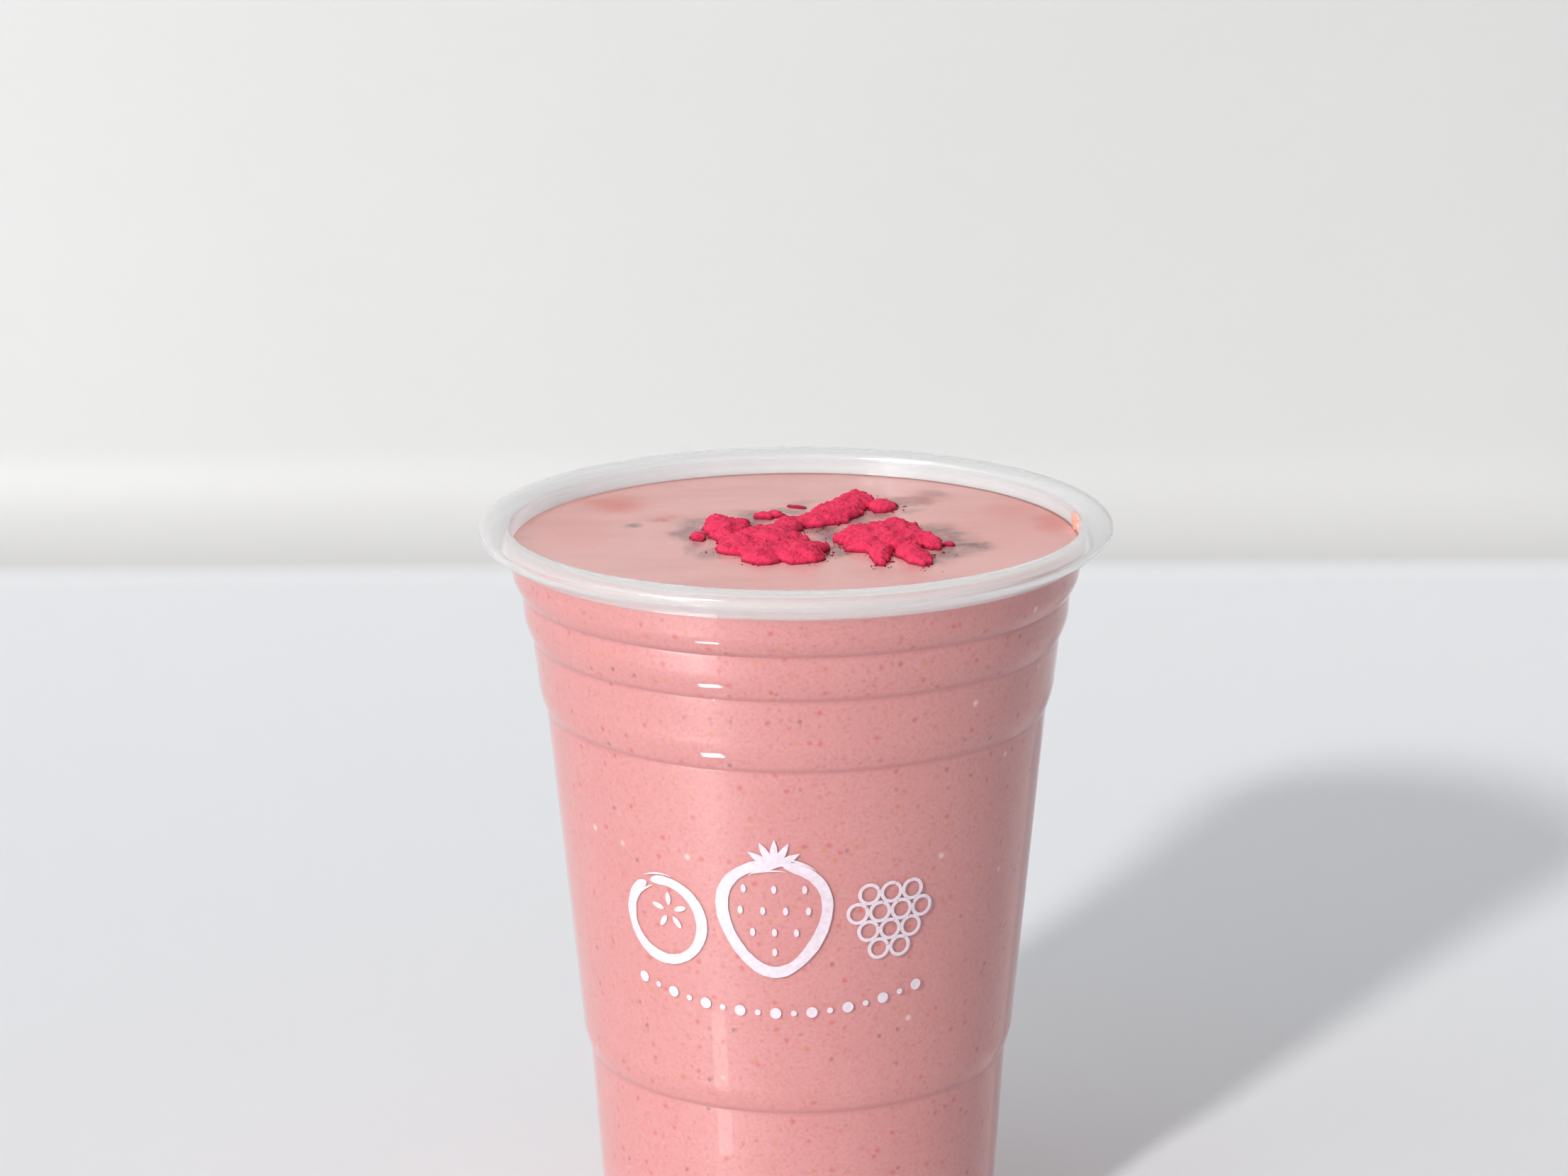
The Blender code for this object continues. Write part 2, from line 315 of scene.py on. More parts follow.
LONE_CLUMPS = (
    (-4.9, 13.2, 1.6, 1.5, 0, 1.0),
    (-2.9, 14.4, 1.6, 1.5, -20, 0.9),
    (0.2, 20.0, 1.2, 1.6, 0, 0.35),
    (-14.7, 0.3, 1.6, 1.3, 10, 0.9),
    (22.6, -4.4, 1.2, 1.0, 0, 0.6),
)
LOBE_BLEND = 0.4
HEAP_GRID = 0.2
HEAP_SUNK = 0.5


def smooth_noise(x, y, cell, seed):
    """Smooth noise from -1 to 1: random values on a square lattice of the cell's size, blended
    between its corners by the smoothstep curve."""
    lattice = np.random.default_rng(seed).uniform(-1, 1, (256, 256))
    across, up = x / cell, y / cell
    column, row = np.floor(across).astype(int), np.floor(up).astype(int)
    s, t = across - column, up - row
    s, t = s * s * (3 - 2 * s), t * t * (3 - 2 * t)
    left, right, lower, upper = column % 256, (column + 1) % 256, row % 256, (row + 1) % 256
    low = lattice[lower, left] * (1 - s) + lattice[lower, right] * s
    high = lattice[upper, left] * (1 - s) + lattice[upper, right] * s
    return low * (1 - t) + high * t


def lobe_height(lobes, x, y):
    """Height over the drink: the lobes' soft maximum. Each is an ellipsoid, h sqrt(1 - q squared)
    with q the share of the way out, and past its edge it falls off below the drink by the same
    curve. Noise moves the lobes' edges sideways."""
    shift_x = 0.45 * smooth_noise(x, y, 1.9, 1) + 0.34 * smooth_noise(x, y, 0.8, 6)
    shift_y = 0.65 * smooth_noise(x, y, 1.9, 2) + 0.45 * smooth_noise(x, y, 0.8, 7)
    x, y = x + shift_x, y + shift_y
    total = np.zeros(np.shape(x))
    for centre_x, centre_y, length, width, turn, top in lobes:
        turn = math.radians(turn)
        dx, dy = x - centre_x, y - centre_y
        out = ((dx * math.cos(turn) + dy * math.sin(turn)) / width) ** 2
        out += ((dy * math.cos(turn) - dx * math.sin(turn)) / length) ** 2
        own = np.maximum(top * np.sign(1 - out) * np.sqrt(np.abs(1 - out)), -8.0)
        total += np.exp(own / LOBE_BLEND)
    return LOBE_BLEND * np.log(total)


def powder_height(lobes, x, y):
    """The lobes' height with the powder's relief: soft clumps 2 mm wide, crumbs 0.7 mm wide and
    grains 0.3 mm wide, in falling height."""
    height = lobe_height(lobes, x, y)
    relief = 0.28 * smooth_noise(x, y, 2.1, 3) + 0.24 * smooth_noise(x, y, 0.95, 4)
    relief += 0.15 * smooth_noise(x, y, 0.45, 5)
    return height + relief * np.clip(height, 0, 1)


def closed_field(lobes, grid, sunk):
    """A closed mesh over the cells of a square grid where the height is above -sunk: the height
    field on top, a flat underside below it, and a wall round the edge."""
    reach = np.array([[c[0] - c[2] - 2, c[0] + c[2] + 2, c[1] - c[2] - 2, c[1] + c[2] + 2] for c in lobes])
    across = np.arange(reach[:, 0].min(), reach[:, 1].max(), grid)
    up = np.arange(reach[:, 2].min(), reach[:, 3].max(), grid)
    x, y = np.meshgrid(across, up)
    height = powder_height(lobes, x, y)
    inside = height > -sunk
    inside = inside[:-1, :-1] & inside[1:, :-1] & inside[:-1, 1:] & inside[1:, 1:]
    index = np.arange(x.size).reshape(x.shape)
    cells = np.stack([index[:-1, :-1], index[:-1, 1:], index[1:, 1:], index[1:, :-1]], axis=2)[inside]
    edges = np.concatenate([cells[:, [k, (k + 1) % 4]] for k in range(4)])
    code = edges[:, 0].astype(np.int64) * x.size + edges[:, 1]
    back = edges[:, 1].astype(np.int64) * x.size + edges[:, 0]
    rim = edges[~np.isin(code, back)]
    top = np.stack([x, y, DRINK_LEVEL + np.maximum(height, -sunk)], axis=2).reshape(-1, 3)
    below = top.copy()
    below[:, 2] = DRINK_LEVEL - sunk - 0.2
    count = x.size
    wall = np.stack([rim[:, 1], rim[:, 0], rim[:, 0] + count, rim[:, 1] + count], axis=1)
    quads = np.concatenate([cells, cells[:, ::-1] + count, wall])
    used, renumbered = np.unique(quads, return_inverse=True)
    return np.concatenate([top, below])[used], renumbered.reshape(-1, 4).tolist()


def ground_powder():
    """Freeze-dried berry powder: dry, dull and deep pink, lighter on its crumbs, with a dark band where
    it touches the drink, partly wet powder and partly painted shade at the foot of the heaps."""
    made, tree, output = new_material("freeze_dried_berry_powder_ground")
    place = node(tree, "ShaderNodeTexCoord").outputs["Object"]
    # Patches of about 2 mm and grains of about 0.35 mm
    patches = noise(tree, place, 480.0, 3.0)
    grains = noise(tree, place, 2800.0, 1.0)
    middle = combined(tree, "MULTIPLY", combined(tree, "ADD", patches, grains), 0.5)
    dry = node(tree, "ShaderNodeValToRGB", links={0: middle})
    for end, position, shade in zip(dry.color_ramp.elements, (0.32, 0.62), ("#CC244C", "#F63F67")):
        end.position = position
        end.color = linear(shade)
    # Darker from the drink up to about 0.4 mm above it: partly wet powder, partly painted shade at the
    # heaps' foot
    height = node(tree, "ShaderNodeSeparateXYZ", links={0: place}).outputs["Z"]
    wet_and_shaded = ranged(tree, height, (DRINK_LEVEL + 0.05) * MM, (DRINK_LEVEL + 0.65) * MM, 1.0, 0.0)
    bump = node(tree, "ShaderNodeBump", {"Strength": 0.5, "Distance": 0.0001}, {"Height": grains})
    powder = node(
        tree,
        "ShaderNodeBsdfPrincipled",
        {"Roughness": 0.95, "Specular IOR Level": 0.12, "Sheen Weight": 0.12, "Sheen Roughness": 0.6},
        {"Base Color": blended(tree, wet_and_shaded, dry.outputs[0], "#8E1234"), "Normal": bump.outputs[0]},
    )
    powder.inputs["Sheen Tint"].default_value = linear("#FF9CB4")
    tree.links.new(powder.outputs[0], output.inputs["Surface"])
    return made


powder_finish = ground_powder()
for heap_name, heap_lobes in HEAPS.items():
    heap_points, heap_faces = closed_field(heap_lobes, HEAP_GRID, HEAP_SUNK)
    heap = add_piece(heap_name + "_heap", heap_points, heap_faces, powder_finish)
    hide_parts(heap_name)


# LOOSE CRUMBS OF POWDER
# Crumbs that rolled off the heaps or lie half sunk in them, and a few clumps that fell apart from
# them, all of the same ground powder.
CRUMB_RADII = (0.08, 0.26)
CRUMBS_ON_HEAPS = 3200
CRUMBS_ROUND_HEAPS = 260
CLUMPS_SUNK = 0.3


def icosahedron():
    """The twelve corners of an icosahedron of radius 1 and its twenty faces, found as the triples
    of corners that lie an edge apart."""
    golden = (1 + math.sqrt(5)) / 2
    signs = np.array([(a, b) for a in (-1, 1) for b in (-1, 1)])
    flat = np.stack([0 * signs[:, 0], signs[:, 0], golden * signs[:, 1]], axis=1)
    corners = np.concatenate([flat, np.roll(flat, 1, axis=1), np.roll(flat, 2, axis=1)])
    near = np.linalg.norm(corners[:, None] - corners[None], axis=2) < 2.1
    i, j, k = np.meshgrid(*[np.arange(12)] * 3, indexing="ij")
    triples = np.stack([i, j, k], axis=3)[(i < j) & (j < k) & near[i, j] & near[j, k] & near[i, k]]
    a, b, c = corners[triples[:, 0]], corners[triples[:, 1]], corners[triples[:, 2]]
    inward = np.einsum("ij,ij->i", np.cross(b - a, c - a), a) < 0
    triples[inward] = triples[inward][:, ::-1]
    return corners / np.linalg.norm(corners[0]), triples


def scattered(places, radii, seed):
    """Crumbs at the places: icosahedra whose corners are moved in or out by up to a third, each
    stretched differently along x, y and z."""
    chance = np.random.default_rng(seed)
    corners, faces = icosahedron()
    count = len(places)
    rough = corners[None] * chance.uniform(0.7, 1.2, (count, len(corners), 1))
    rough = rough * chance.uniform(0.75, 1.25, (count, 1, 3)) * radii[:, None, None]
    points = (rough + places[:, None]).reshape(-1, 3)
    numbered = faces[None] + len(corners) * np.arange(count)[:, None, None]
    return points, numbered.reshape(-1, 3).tolist()


def crumb_places():
    """Random places kept by rule: on the heaps everywhere, and round them with a chance that falls
    with the distance from the heaps."""
    chance = np.random.default_rng(21)
    lobes = HEAPS["powder_left"] + HEAPS["powder_right"]
    tries = chance.uniform((-18, -26), (28, 30), (60000, 2))
    height = powder_height(lobes, tries[:, 0], tries[:, 1])
    on_heap = tries[height > 0.15][:CRUMBS_ON_HEAPS]
    off = tries[height < -0.2]
    fall = np.exp(-((lobe_height(lobes, off[:, 0], off[:, 1]) + 0.2) / 1.0) ** 2)
    off = off[chance.uniform(0, 1, len(off)) < fall * 0.3][:CRUMBS_ROUND_HEAPS]
    on_z = DRINK_LEVEL + powder_height(lobes, on_heap[:, 0], on_heap[:, 1])
    off_z = np.full(len(off), DRINK_LEVEL)
    places = np.concatenate([np.column_stack([on_heap, on_z]), np.column_stack([off, off_z])])
    radii = CRUMB_RADII[0] + (CRUMB_RADII[1] - CRUMB_RADII[0]) * chance.uniform(0, 1, len(places)) ** 3
    places[:len(on_heap), 2] -= radii[:len(on_heap)] * 0.35
    return places, radii


crumb_points, crumb_faces = scattered(*crumb_places(), seed=22)
add_piece("powder_crumbs", crumb_points, crumb_faces, powder_finish)
clump_points, clump_faces = closed_field(LONE_CLUMPS, HEAP_GRID, CLUMPS_SUNK)
add_piece("powder_clumps", clump_points, clump_faces, powder_finish)


# THE DRINK
# Berries blended with milk or yoghurt to a thick, even pink, poured nearly to the rim. It is full
# of small seeds, skins and bubbles. Its surface is smooth and shiny, and stained grey where dust
# of the powder has spread on it.
FILL_INTO_WALL = 0.12
MENISCUS_RISE = 0.25
MENISCUS_WIDTH = 1.2
TOP_RINGS = 150
DRINK_SEGMENTS = 320
# Slow waves of the surface, which die out over the last millimetres to where it is level
LEVEL_FROM = 40.0
WAVES_END = 6.0
# The ring of thin drink at the sheet: the radius that it starts at, its width, its strength
EDGE_RING = (41.9, 0.6, 0.5)
# Dusty stains: x, y, half length along y, half width, strength
DUST_STAINS = (
    (-16.1, 4.4, 5.6, 2.6, 0.8),
    (-14.6, 10.0, 3.7, 2.2, 0.7),
    (-6.6, 9.5, 5.2, 3.0, 1.0),
    (-6.6, 15.5, 2.8, 2.4, 0.8),
    (-1.4, 17.8, 2.7, 3.4, 0.7),
    (1.4, 22.1, 2.4, 2.2, 0.4),
    (3.6, 5.5, 4.6, 2.8, 1.0),
    (5.0, 1.0, 5.1, 2.8, 1.0),
    (5.5, -7.3, 4.7, 2.2, 0.8),
    (10.0, 11.1, 3.7, 2.6, 0.7),
    (12.4, 14.2, 2.4, 2.6, 0.6),
    (21.7, 4.0, 4.1, 2.6, 1.0),
    (23.8, -0.5, 4.3, 2.8, 1.0),
    (25.9, -5.4, 2.8, 3.2, 1.0),
    (25.6, -5.2, 1.3, 1.9, 1.3),
    (22.9, -9.7, 3.4, 2.6, 1.0),
    (21.1, -13.9, 2.3, 1.6, 0.5),
    (16.7, 23.0, 3.3, 2.4, 0.7),
    (20.0, 24.1, 3.1, 2.2, 0.8),
    (21.8, 28.3, 2.7, 2.2, 0.6),
    (17.5, 16.8, 1.8, 2.0, 0.5),
    (-12.7, -9.1, 3.4, 2.2, 0.6),
    (-15.3, -4.4, 3.2, 1.8, 0.5),
    (-25.0, 8.9, 1.3, 1.3, 0.9),
    (-20.4, 11.6, 1.1, 1.8, 0.5),
)
# Warm stains of thinner juice: x, y, half length, half width, strength
WARM_STAINS = (
    (-27.8, 22.8, 5.5, 5.0, 0.9),
    (-20.2, 12.0, 2.0, 2.6, 0.7),
    (33.9, 17.3, 8.2, 5.5, 0.6),
    (39.0, 10.0, 8.3, 3.5, 0.9),
    (19.8, 25.5, 4.5, 4.0, 0.5),
    (-33.1, 5.3, 11.1, 6.0, 0.25),
    (31.1, 7.2, 15.8, 12.0, 0.3),
)


def stain(spots, x, y):
    """How strongly the spots colour each point: the largest of their bell curves, with wavy edges."""
    x, y = x + 1.1 * smooth_noise(x, y, 3.1, 31), y + 1.5 * smooth_noise(x, y, 3.1, 32)
    x, y = x + 0.5 * smooth_noise(x, y, 0.9, 33), y + 0.7 * smooth_noise(x, y, 0.9, 34)
    best = np.zeros(np.shape(x))
    for centre_x, centre_y, length, width, strength in spots:
        out = ((x - centre_x) / width) ** 2 + ((y - centre_y) / length) ** 2
        best = np.maximum(best, strength * np.exp(-(out**1.5)))
    return best


def drink_outline():
    """Up the inside of the sheet, a little way into it, then in over the surface, which climbs the
    wall by the square of the share of the meniscus's width."""
    side = beside(body_middle(), WALL / 2 - FILL_INTO_WALL)
    edge = side[-1, 0] + 0.15
    inward = np.linspace(0, 1, TOP_RINGS) ** 0.8
    r = edge * (1 - inward)
    climb = np.clip(1 - (edge - r) / MENISCUS_WIDTH, 0, 1) ** 2
    return np.concatenate([side, np.stack([r, DRINK_LEVEL + MENISCUS_RISE * climb], axis=1)])


# Skins, red bits, orange pulp, seeds and bubbles: spacing and width in mm, share of the cells that
# hold one, shift of the pattern, colour, strength
SPECKS = (
    (1.3, 0.45, 0.90, 0.011, "#BC5C64", 0.42),
    (2.6, 0.66, 0.75, 0.023, "#CE4649", 0.7),
    (3.0, 0.66, 0.65, 0.037, "#D08448", 0.6),
    (3.4, 0.60, 0.50, 0.051, "#5A4044", 0.62),
    (4.6, 0.74, 0.14, 0.067, "#FBE3DF", 0.7),
)


def dot_pattern(tree, place, spacing, size, share, offset):
    """Round specks: cells of the spacing hold one point each, and the share of them with the lowest
    random number shows a soft speck of the size round its point."""
    shift = (offset, offset * 0.7, offset * 1.3)
    moved = node(tree, "ShaderNodeMapping", {"Location": shift}, {"Vector": place})
    cells = node(tree, "ShaderNodeTexVoronoi", {"Scale": 1 / (spacing * MM)}, {"Vector": moved.outputs[0]})
    distance = cells.outputs["Distance"]
    near = ranged(tree, distance, size / spacing, 0.0, interpolation_type="SMOOTHSTEP")
    chosen = node(tree, "ShaderNodeSeparateColor", links={0: cells.outputs["Color"]})
    return combined(tree, "MULTIPLY", near, combined(tree, "LESS_THAN", chosen.outputs[0], share))


def tinted(tree, amount, base, colour, strength):
    """The base colour turned towards another by the amount times the strength."""
    return blended(tree, combined(tree, "MULTIPLY", amount, strength), base, colour)


def blended_drink():
    """Blended berry drink: soft pink that lets light a little way in, with specks of seed, skin and
    air, wet and smooth on top."""
    made, tree, output = new_material("berry_drink_blended")
    place = node(tree, "ShaderNodeTexCoord").outputs["Object"]
    height = node(tree, "ShaderNodeSeparateXYZ", links={0: place}).outputs["Z"]
    # Clouds of about 8 mm and fine mottling of about 0.4 mm
    clouds = noise(tree, place, 120.0, 2.0)
    colour = blended(tree, clouds, "#D78C89", "#DB9592")
    mottle = ranged(tree, noise(tree, place, 2400.0, 2.0), 0.42, 0.75)
    colour = tinted(tree, mottle, colour, "#C8666C", 0.5)
    for spacing, size, share, offset, shade, strength in SPECKS:
        dots = dot_pattern(tree, place, spacing, size, share, offset)
        colour = tinted(tree, dots, colour, shade, strength)
    # Painted shade: a darker band round the corner of each step, standing in for the shade on the step's
    # downward-facing slope and in its corner
    for _, _, corner_z, _ in STEPS:
        off = combined(tree, "SUBTRACT", height, (corner_z + 0.12) * MM)
        away = node(tree, "ShaderNodeMath", links={0: off}, operation="ABSOLUTE").outputs[0]
        painted_corner_shade = ranged(tree, away, 0.9 * MM, 0.0, interpolation_type="SMOOTHSTEP")
        colour = tinted(tree, painted_corner_shade, colour, "#B86A6E", 0.5)
    # A paler top, partly a film of froth and partly painted reflection of the pale room on the shiny
    # surface; thinner in streaks about 14 mm long and 6 mm wide
    surface = ranged(tree, height, (DRINK_LEVEL - 0.3) * MM, (DRINK_LEVEL - 0.1) * MM)
    colour = tinted(tree, surface, colour, "#F4BEB8", 0.72)
    drawn = {"Scale": (70, 160, 40), "Rotation": (0, 0, 0.4)}
    streaks = noise(tree, node(tree, "ShaderNodeMapping", drawn, {"Vector": place}).outputs[0], 1.0, 3.0)
    thin = combined(tree, "MULTIPLY", ranged(tree, streaks, 0.45, 0.75), surface)
    colour = tinted(tree, thin, colour, "#D58F8B", 0.4)
    # The mesh holds the dust in red, the warm stains in green and the edge's ring in blue. The dust
    # breaks up into blots of about 1.2 mm with grains of about 0.4 mm
    held = node(tree, "ShaderNodeVertexColor", layer_name="stains")
    dusty, warm, edge_ring = node(tree, "ShaderNodeSeparateColor", links={0: held.outputs[0]}).outputs
    blots = noise(tree, place, 850.0, 3.0, Roughness=0.7)
    dust = combined(tree, "MULTIPLY", dusty, ranged(tree, blots, 0.36, 0.56, 0.6, 0.9))
    colour = tinted(tree, dust, colour, "#6E5856", 1.0)
    colour = tinted(tree, warm, colour, "#DE7468", 0.8)
    colour = tinted(tree, edge_ring, colour, "#C4745C", 0.55)
    bump = node(tree, "ShaderNodeBump", {"Strength": 0.3, "Distance": 0.0004}, {"Height": clouds})
    drink = node(
        tree,
        "ShaderNodeBsdfPrincipled",
        {"Roughness": 0.28, "IOR": 1.33, "Subsurface Weight": 0.3, "Subsurface Scale": 0.0005},
        {"Base Color": colour, "Normal": bump.outputs[0]},
    )
    drink.inputs["Subsurface Radius"].default_value = (1.0, 0.45, 0.35)
    tree.links.new(drink.outputs[0], output.inputs["Surface"])
    return made


drink_points, drink_faces = revolved(drink_outline(), DRINK_SEGMENTS)
on_top = drink_points[:, 2] > DRINK_LEVEL - 0.01
across = np.hypot(drink_points[:, 0], drink_points[:, 1])
level_wave = 0.05 * smooth_noise(drink_points[:, 0], drink_points[:, 1], 7.0, 41)
level_wave += 0.02 * smooth_noise(drink_points[:, 0], drink_points[:, 1], 2.4, 42)
drink_points[on_top, 2] += (level_wave * np.clip((LEVEL_FROM - across) / WAVES_END, 0, 1))[on_top]
drink = add_piece("drink", drink_points, drink_faces, blended_drink())
stains = np.zeros((len(drink_points), 4))
stains[:, 0] = stain(DUST_STAINS, drink_points[:, 0], drink_points[:, 1]) * on_top
stains[:, 1] = stain(WARM_STAINS, drink_points[:, 0], drink_points[:, 1]) * on_top
stains[:, 2] = np.clip((across - EDGE_RING[0]) / EDGE_RING[1], 0, 1) * on_top * EDGE_RING[2]
stains[:, 3] = 1.0
stain_layer = drink.data.color_attributes.new("stains", "FLOAT_COLOR", "POINT")
stain_layer.data.foreach_set("color", stains.astype(np.float32).ravel())
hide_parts("smoothie")


# THE PRINT
# A plain decoration of three berries over a row of dots, pad-printed on the outside of the wall in
# pale lilac ink with the marks of a brush. The ink is a thin film that lies on the sheet.
PRINT_PLACE = (-3.5, 66.0)
INK_OUTSIDE = 0.03
INK_INSIDE = 0.05
STRAWBERRY = (0.0, 0.5, 15.0, 17.0)
BLUEBERRY = (-17.2, -1.6, 12.4)
RASPBERRY = (17.2, -0.6)
DRUPE_ROWS = ((4.4, 3), (1.5, 4), (-1.4, 3), (-4.3, 2))
DRUPE_STEP = 3.35
DRUPE_RADIUS = 1.45
SEED_ROWS = ((4.6, 3, 4.4), (1.2, 4, 3.3), (-2.2, 3, 3.2), (-5.3, 1, 0.0))
DOTS = 17


def stroke(middle, half_width):
    """A brush stroke as its left and right edges: the middle line moved sideways by the half width,
    which may change along it."""
    along = np.gradient(middle, axis=0)
    along /= np.linalg.norm(along, axis=1, keepdims=True)
    side = np.stack([-along[:, 1], along[:, 0]], axis=1) * np.broadcast_to(half_width, len(middle))[:, None]
    return middle + side, middle - side


def brushed(middle, width, seed):
    """A stroke laid with a stiff brush: its width swells and shrinks by up to a sixth, and it thins
    out over its ends, where two bristle marks beside it run on."""
    share = np.linspace(0, 1, len(middle))
    wobble = 1 + 0.12 * smooth_noise(share * 40, 0 * share, 3.0, seed)
    wobble += 0.05 * smooth_noise(share * 40, 0 * share, 0.7, seed)
    ends = np.clip(np.minimum(share, 1 - share) / 0.035, 0.02, 1) ** 0.5
    strokes = [stroke(middle, width / 2 * wobble * ends)]
    whole = len(middle)
    for shift, first, last in ((0.55, 0, whole // 9), (-0.6, whole - whole // 8, whole)):
        part = middle[first:last]
        along = np.gradient(part, axis=0)
        along /= np.linalg.norm(along, axis=1, keepdims=True)
        beyond = part + np.stack([-along[:, 1], along[:, 0]], axis=1) * width * shift
        thin = np.sin(np.linspace(0.02, 0.98, len(part)) * math.pi) * width * 0.09
        strokes.append(stroke(beyond - along * width * np.sign(shift) * 0.6, thin))
    return strokes


def disc(centre, half_length, half_width):
    """A dot or seed as an upright stroke whose half width follows an ellipse."""
    up = np.cos(np.linspace(0.02, 0.98, 15) * math.pi)
    middle = np.stack([centre[0] + 0 * up, centre[1] + half_length * up], axis=1)
    return stroke(middle, half_width * np.sqrt(1 - up**2))


def ring(centre, radius, start, turn, points):
    """Points of a circle from a start angle through a turn, in degrees."""
    angle = np.radians(np.linspace(start, start + turn, points))
    return np.stack([centre[0] + radius * np.cos(angle), centre[1] + radius * np.sin(angle)], axis=1)


def berry_print():
    """Every stroke of the decoration, as pairs of edges in millimetres on the unrolled wall."""
    x, y, width, height = STRAWBERRY
    t = np.radians(np.linspace(8, 366, 150))
    outline_x = x + width / 2 * np.sin(t) * (1 + 0.24 * np.cos(t))
    outline = np.stack([outline_x, y + height / 2 * np.cos(t)], axis=1)
    strokes = brushed(outline, 1.7, 51)
    for lean in (-58, -28, 2, 30, 60):
        sweep = np.linspace(0, 1, 24)[:, None]
        tip = np.array([[math.sin(math.radians(lean)), math.cos(math.radians(lean))]])
        blade = np.array([[x, y + height / 2 - 0.4]]) + tip * sweep * 4.2
        strokes.append(stroke(blade, 0.55 * np.sin(np.clip(sweep[:, 0], 0.02, 0.97) * math.pi) ** 0.8))
    for row_y, count, step in SEED_ROWS:
        for k in range(count):
            strokes.append(disc((x + (k - (count - 1) / 2) * step, y + row_y), 0.62, 0.36))
    x, y, across = BLUEBERRY
    strokes += brushed(ring((x, y), across / 2, 118, 352, 130), 1.6, 52)
    for k in range(5):
        spoke = ring((x + 0.9, y + 1.5), 1.0, 72 * k + 20, 0, 1) + np.linspace(0, 1, 20)[:, None] * (
            ring((0, 0), 2.0, 72 * k + 20, 0, 1))
        strokes.append(stroke(spoke, 0.42 * np.sin(np.linspace(0.03, 0.97, 20) * math.pi) ** 0.6))
    x, y = RASPBERRY
    for row_y, count in DRUPE_ROWS:
        for k in range(count):
            centre = (x + (k - (count - 1) / 2) * DRUPE_STEP, y + row_y)
            strokes.append(stroke(ring(centre, DRUPE_RADIUS, 40 * k + 9 * count, 356, 40), 0.26))
    for k in range(DOTS):
        u = (k - (DOTS - 1) / 2) * 2.75
        strokes.append(disc((u, -14.6 + 0.006 * u * u), *((0.85, 0.85) if k % 2 == 0 else (0.45, 0.45))))
    return strokes


def film(strokes):
    """The strokes laid round the straight cone between the third and fourth step as closed strips:
    every point pair becomes a small box from just inside the wall's skin to just outside it."""
    (low_z, low_r), (high_z, high_r) = STEPS[3][:2], STEPS[2][2:]
    parts, faces, first = [], [], 0
    for left, right in strokes:
        rows = []
        corners = ((left, -INK_INSIDE), (left, INK_OUTSIDE), (right, INK_OUTSIDE), (right, -INK_INSIDE))
        for edge, proud in corners:
            z = PRINT_PLACE[1] + edge[:, 1]
            radius = low_r + (z - low_z) * (high_r - low_r) / (high_z - low_z) + proud
            middle_r = low_r + (PRINT_PLACE[1] - low_z) * (high_r - low_r) / (high_z - low_z)
            angle = (PRINT_PLACE[0] + edge[:, 0]) / middle_r - math.pi / 2
            rows.append(np.stack([radius * np.cos(angle), radius * np.sin(angle), z], axis=1))
        count = len(left)
        parts.append(np.stack(rows, axis=1).reshape(-1, 3))
        here = first + 4 * np.arange(count - 1)[:, None] + np.arange(4)[None]
        there = first + 4 * np.arange(count - 1)[:, None] + (np.arange(4)[None] + 1) % 4
        faces += np.stack([here, here + 4, there + 4, there], axis=2).reshape(-1, 4).tolist()
        faces += [[first, first + 1, first + 2, first + 3]]
        faces += [[first + 4 * count - k for k in (1, 2, 3, 4)]]
        first += 4 * count
    return np.concatenate(parts), faces


def pad_ink():
    """Pad-printing ink: a pale lilac film, satin, uneven in cover, so the pink behind shows through
    it in places."""
    made, tree, output = new_material("pad_printing_ink_lilac")
    place = node(tree, "ShaderNodeTexCoord").outputs["Object"]
    # Streaks of the brush about 0.8 mm apart
    cover = ranged(tree, noise(tree, place, 1300.0, 2.0), 0.3, 0.6, 0.80, 0.93)
    ink = node(
        tree,
        "ShaderNodeBsdfPrincipled",
        {"Base Color": linear("#EFE0EA"), "Roughness": 0.42, "IOR": 1.5},
        {"Alpha": cover},
    )
    tree.links.new(ink.outputs[0], output.inputs["Surface"])
    return made


print_points, print_faces = film(berry_print())
berry_film = add_piece("berry_print", print_points, print_faces, pad_ink())
berry_film.data.shade_flat()


# A SPLASH OF DRINK
# A thin smear that was left on the inside of the wall, over the level, when the cup was filled. It
# has partly dried, so it is thinner, paler and more orange than the drink.
SPLASH_ANGLE = 6.5
SPLASH_HEIGHT = 115.5
SPLASH_HALF = (2.5, 1.35)
SPLASH_THICKNESS = 0.35
SPLASH_INTO_WALL = 0.12
SPLASH_RINGS = 12
SPLASH_SECTORS = 48
# The neck leans out by this much for each millimetre of height
NECK_LEAN = 0.075


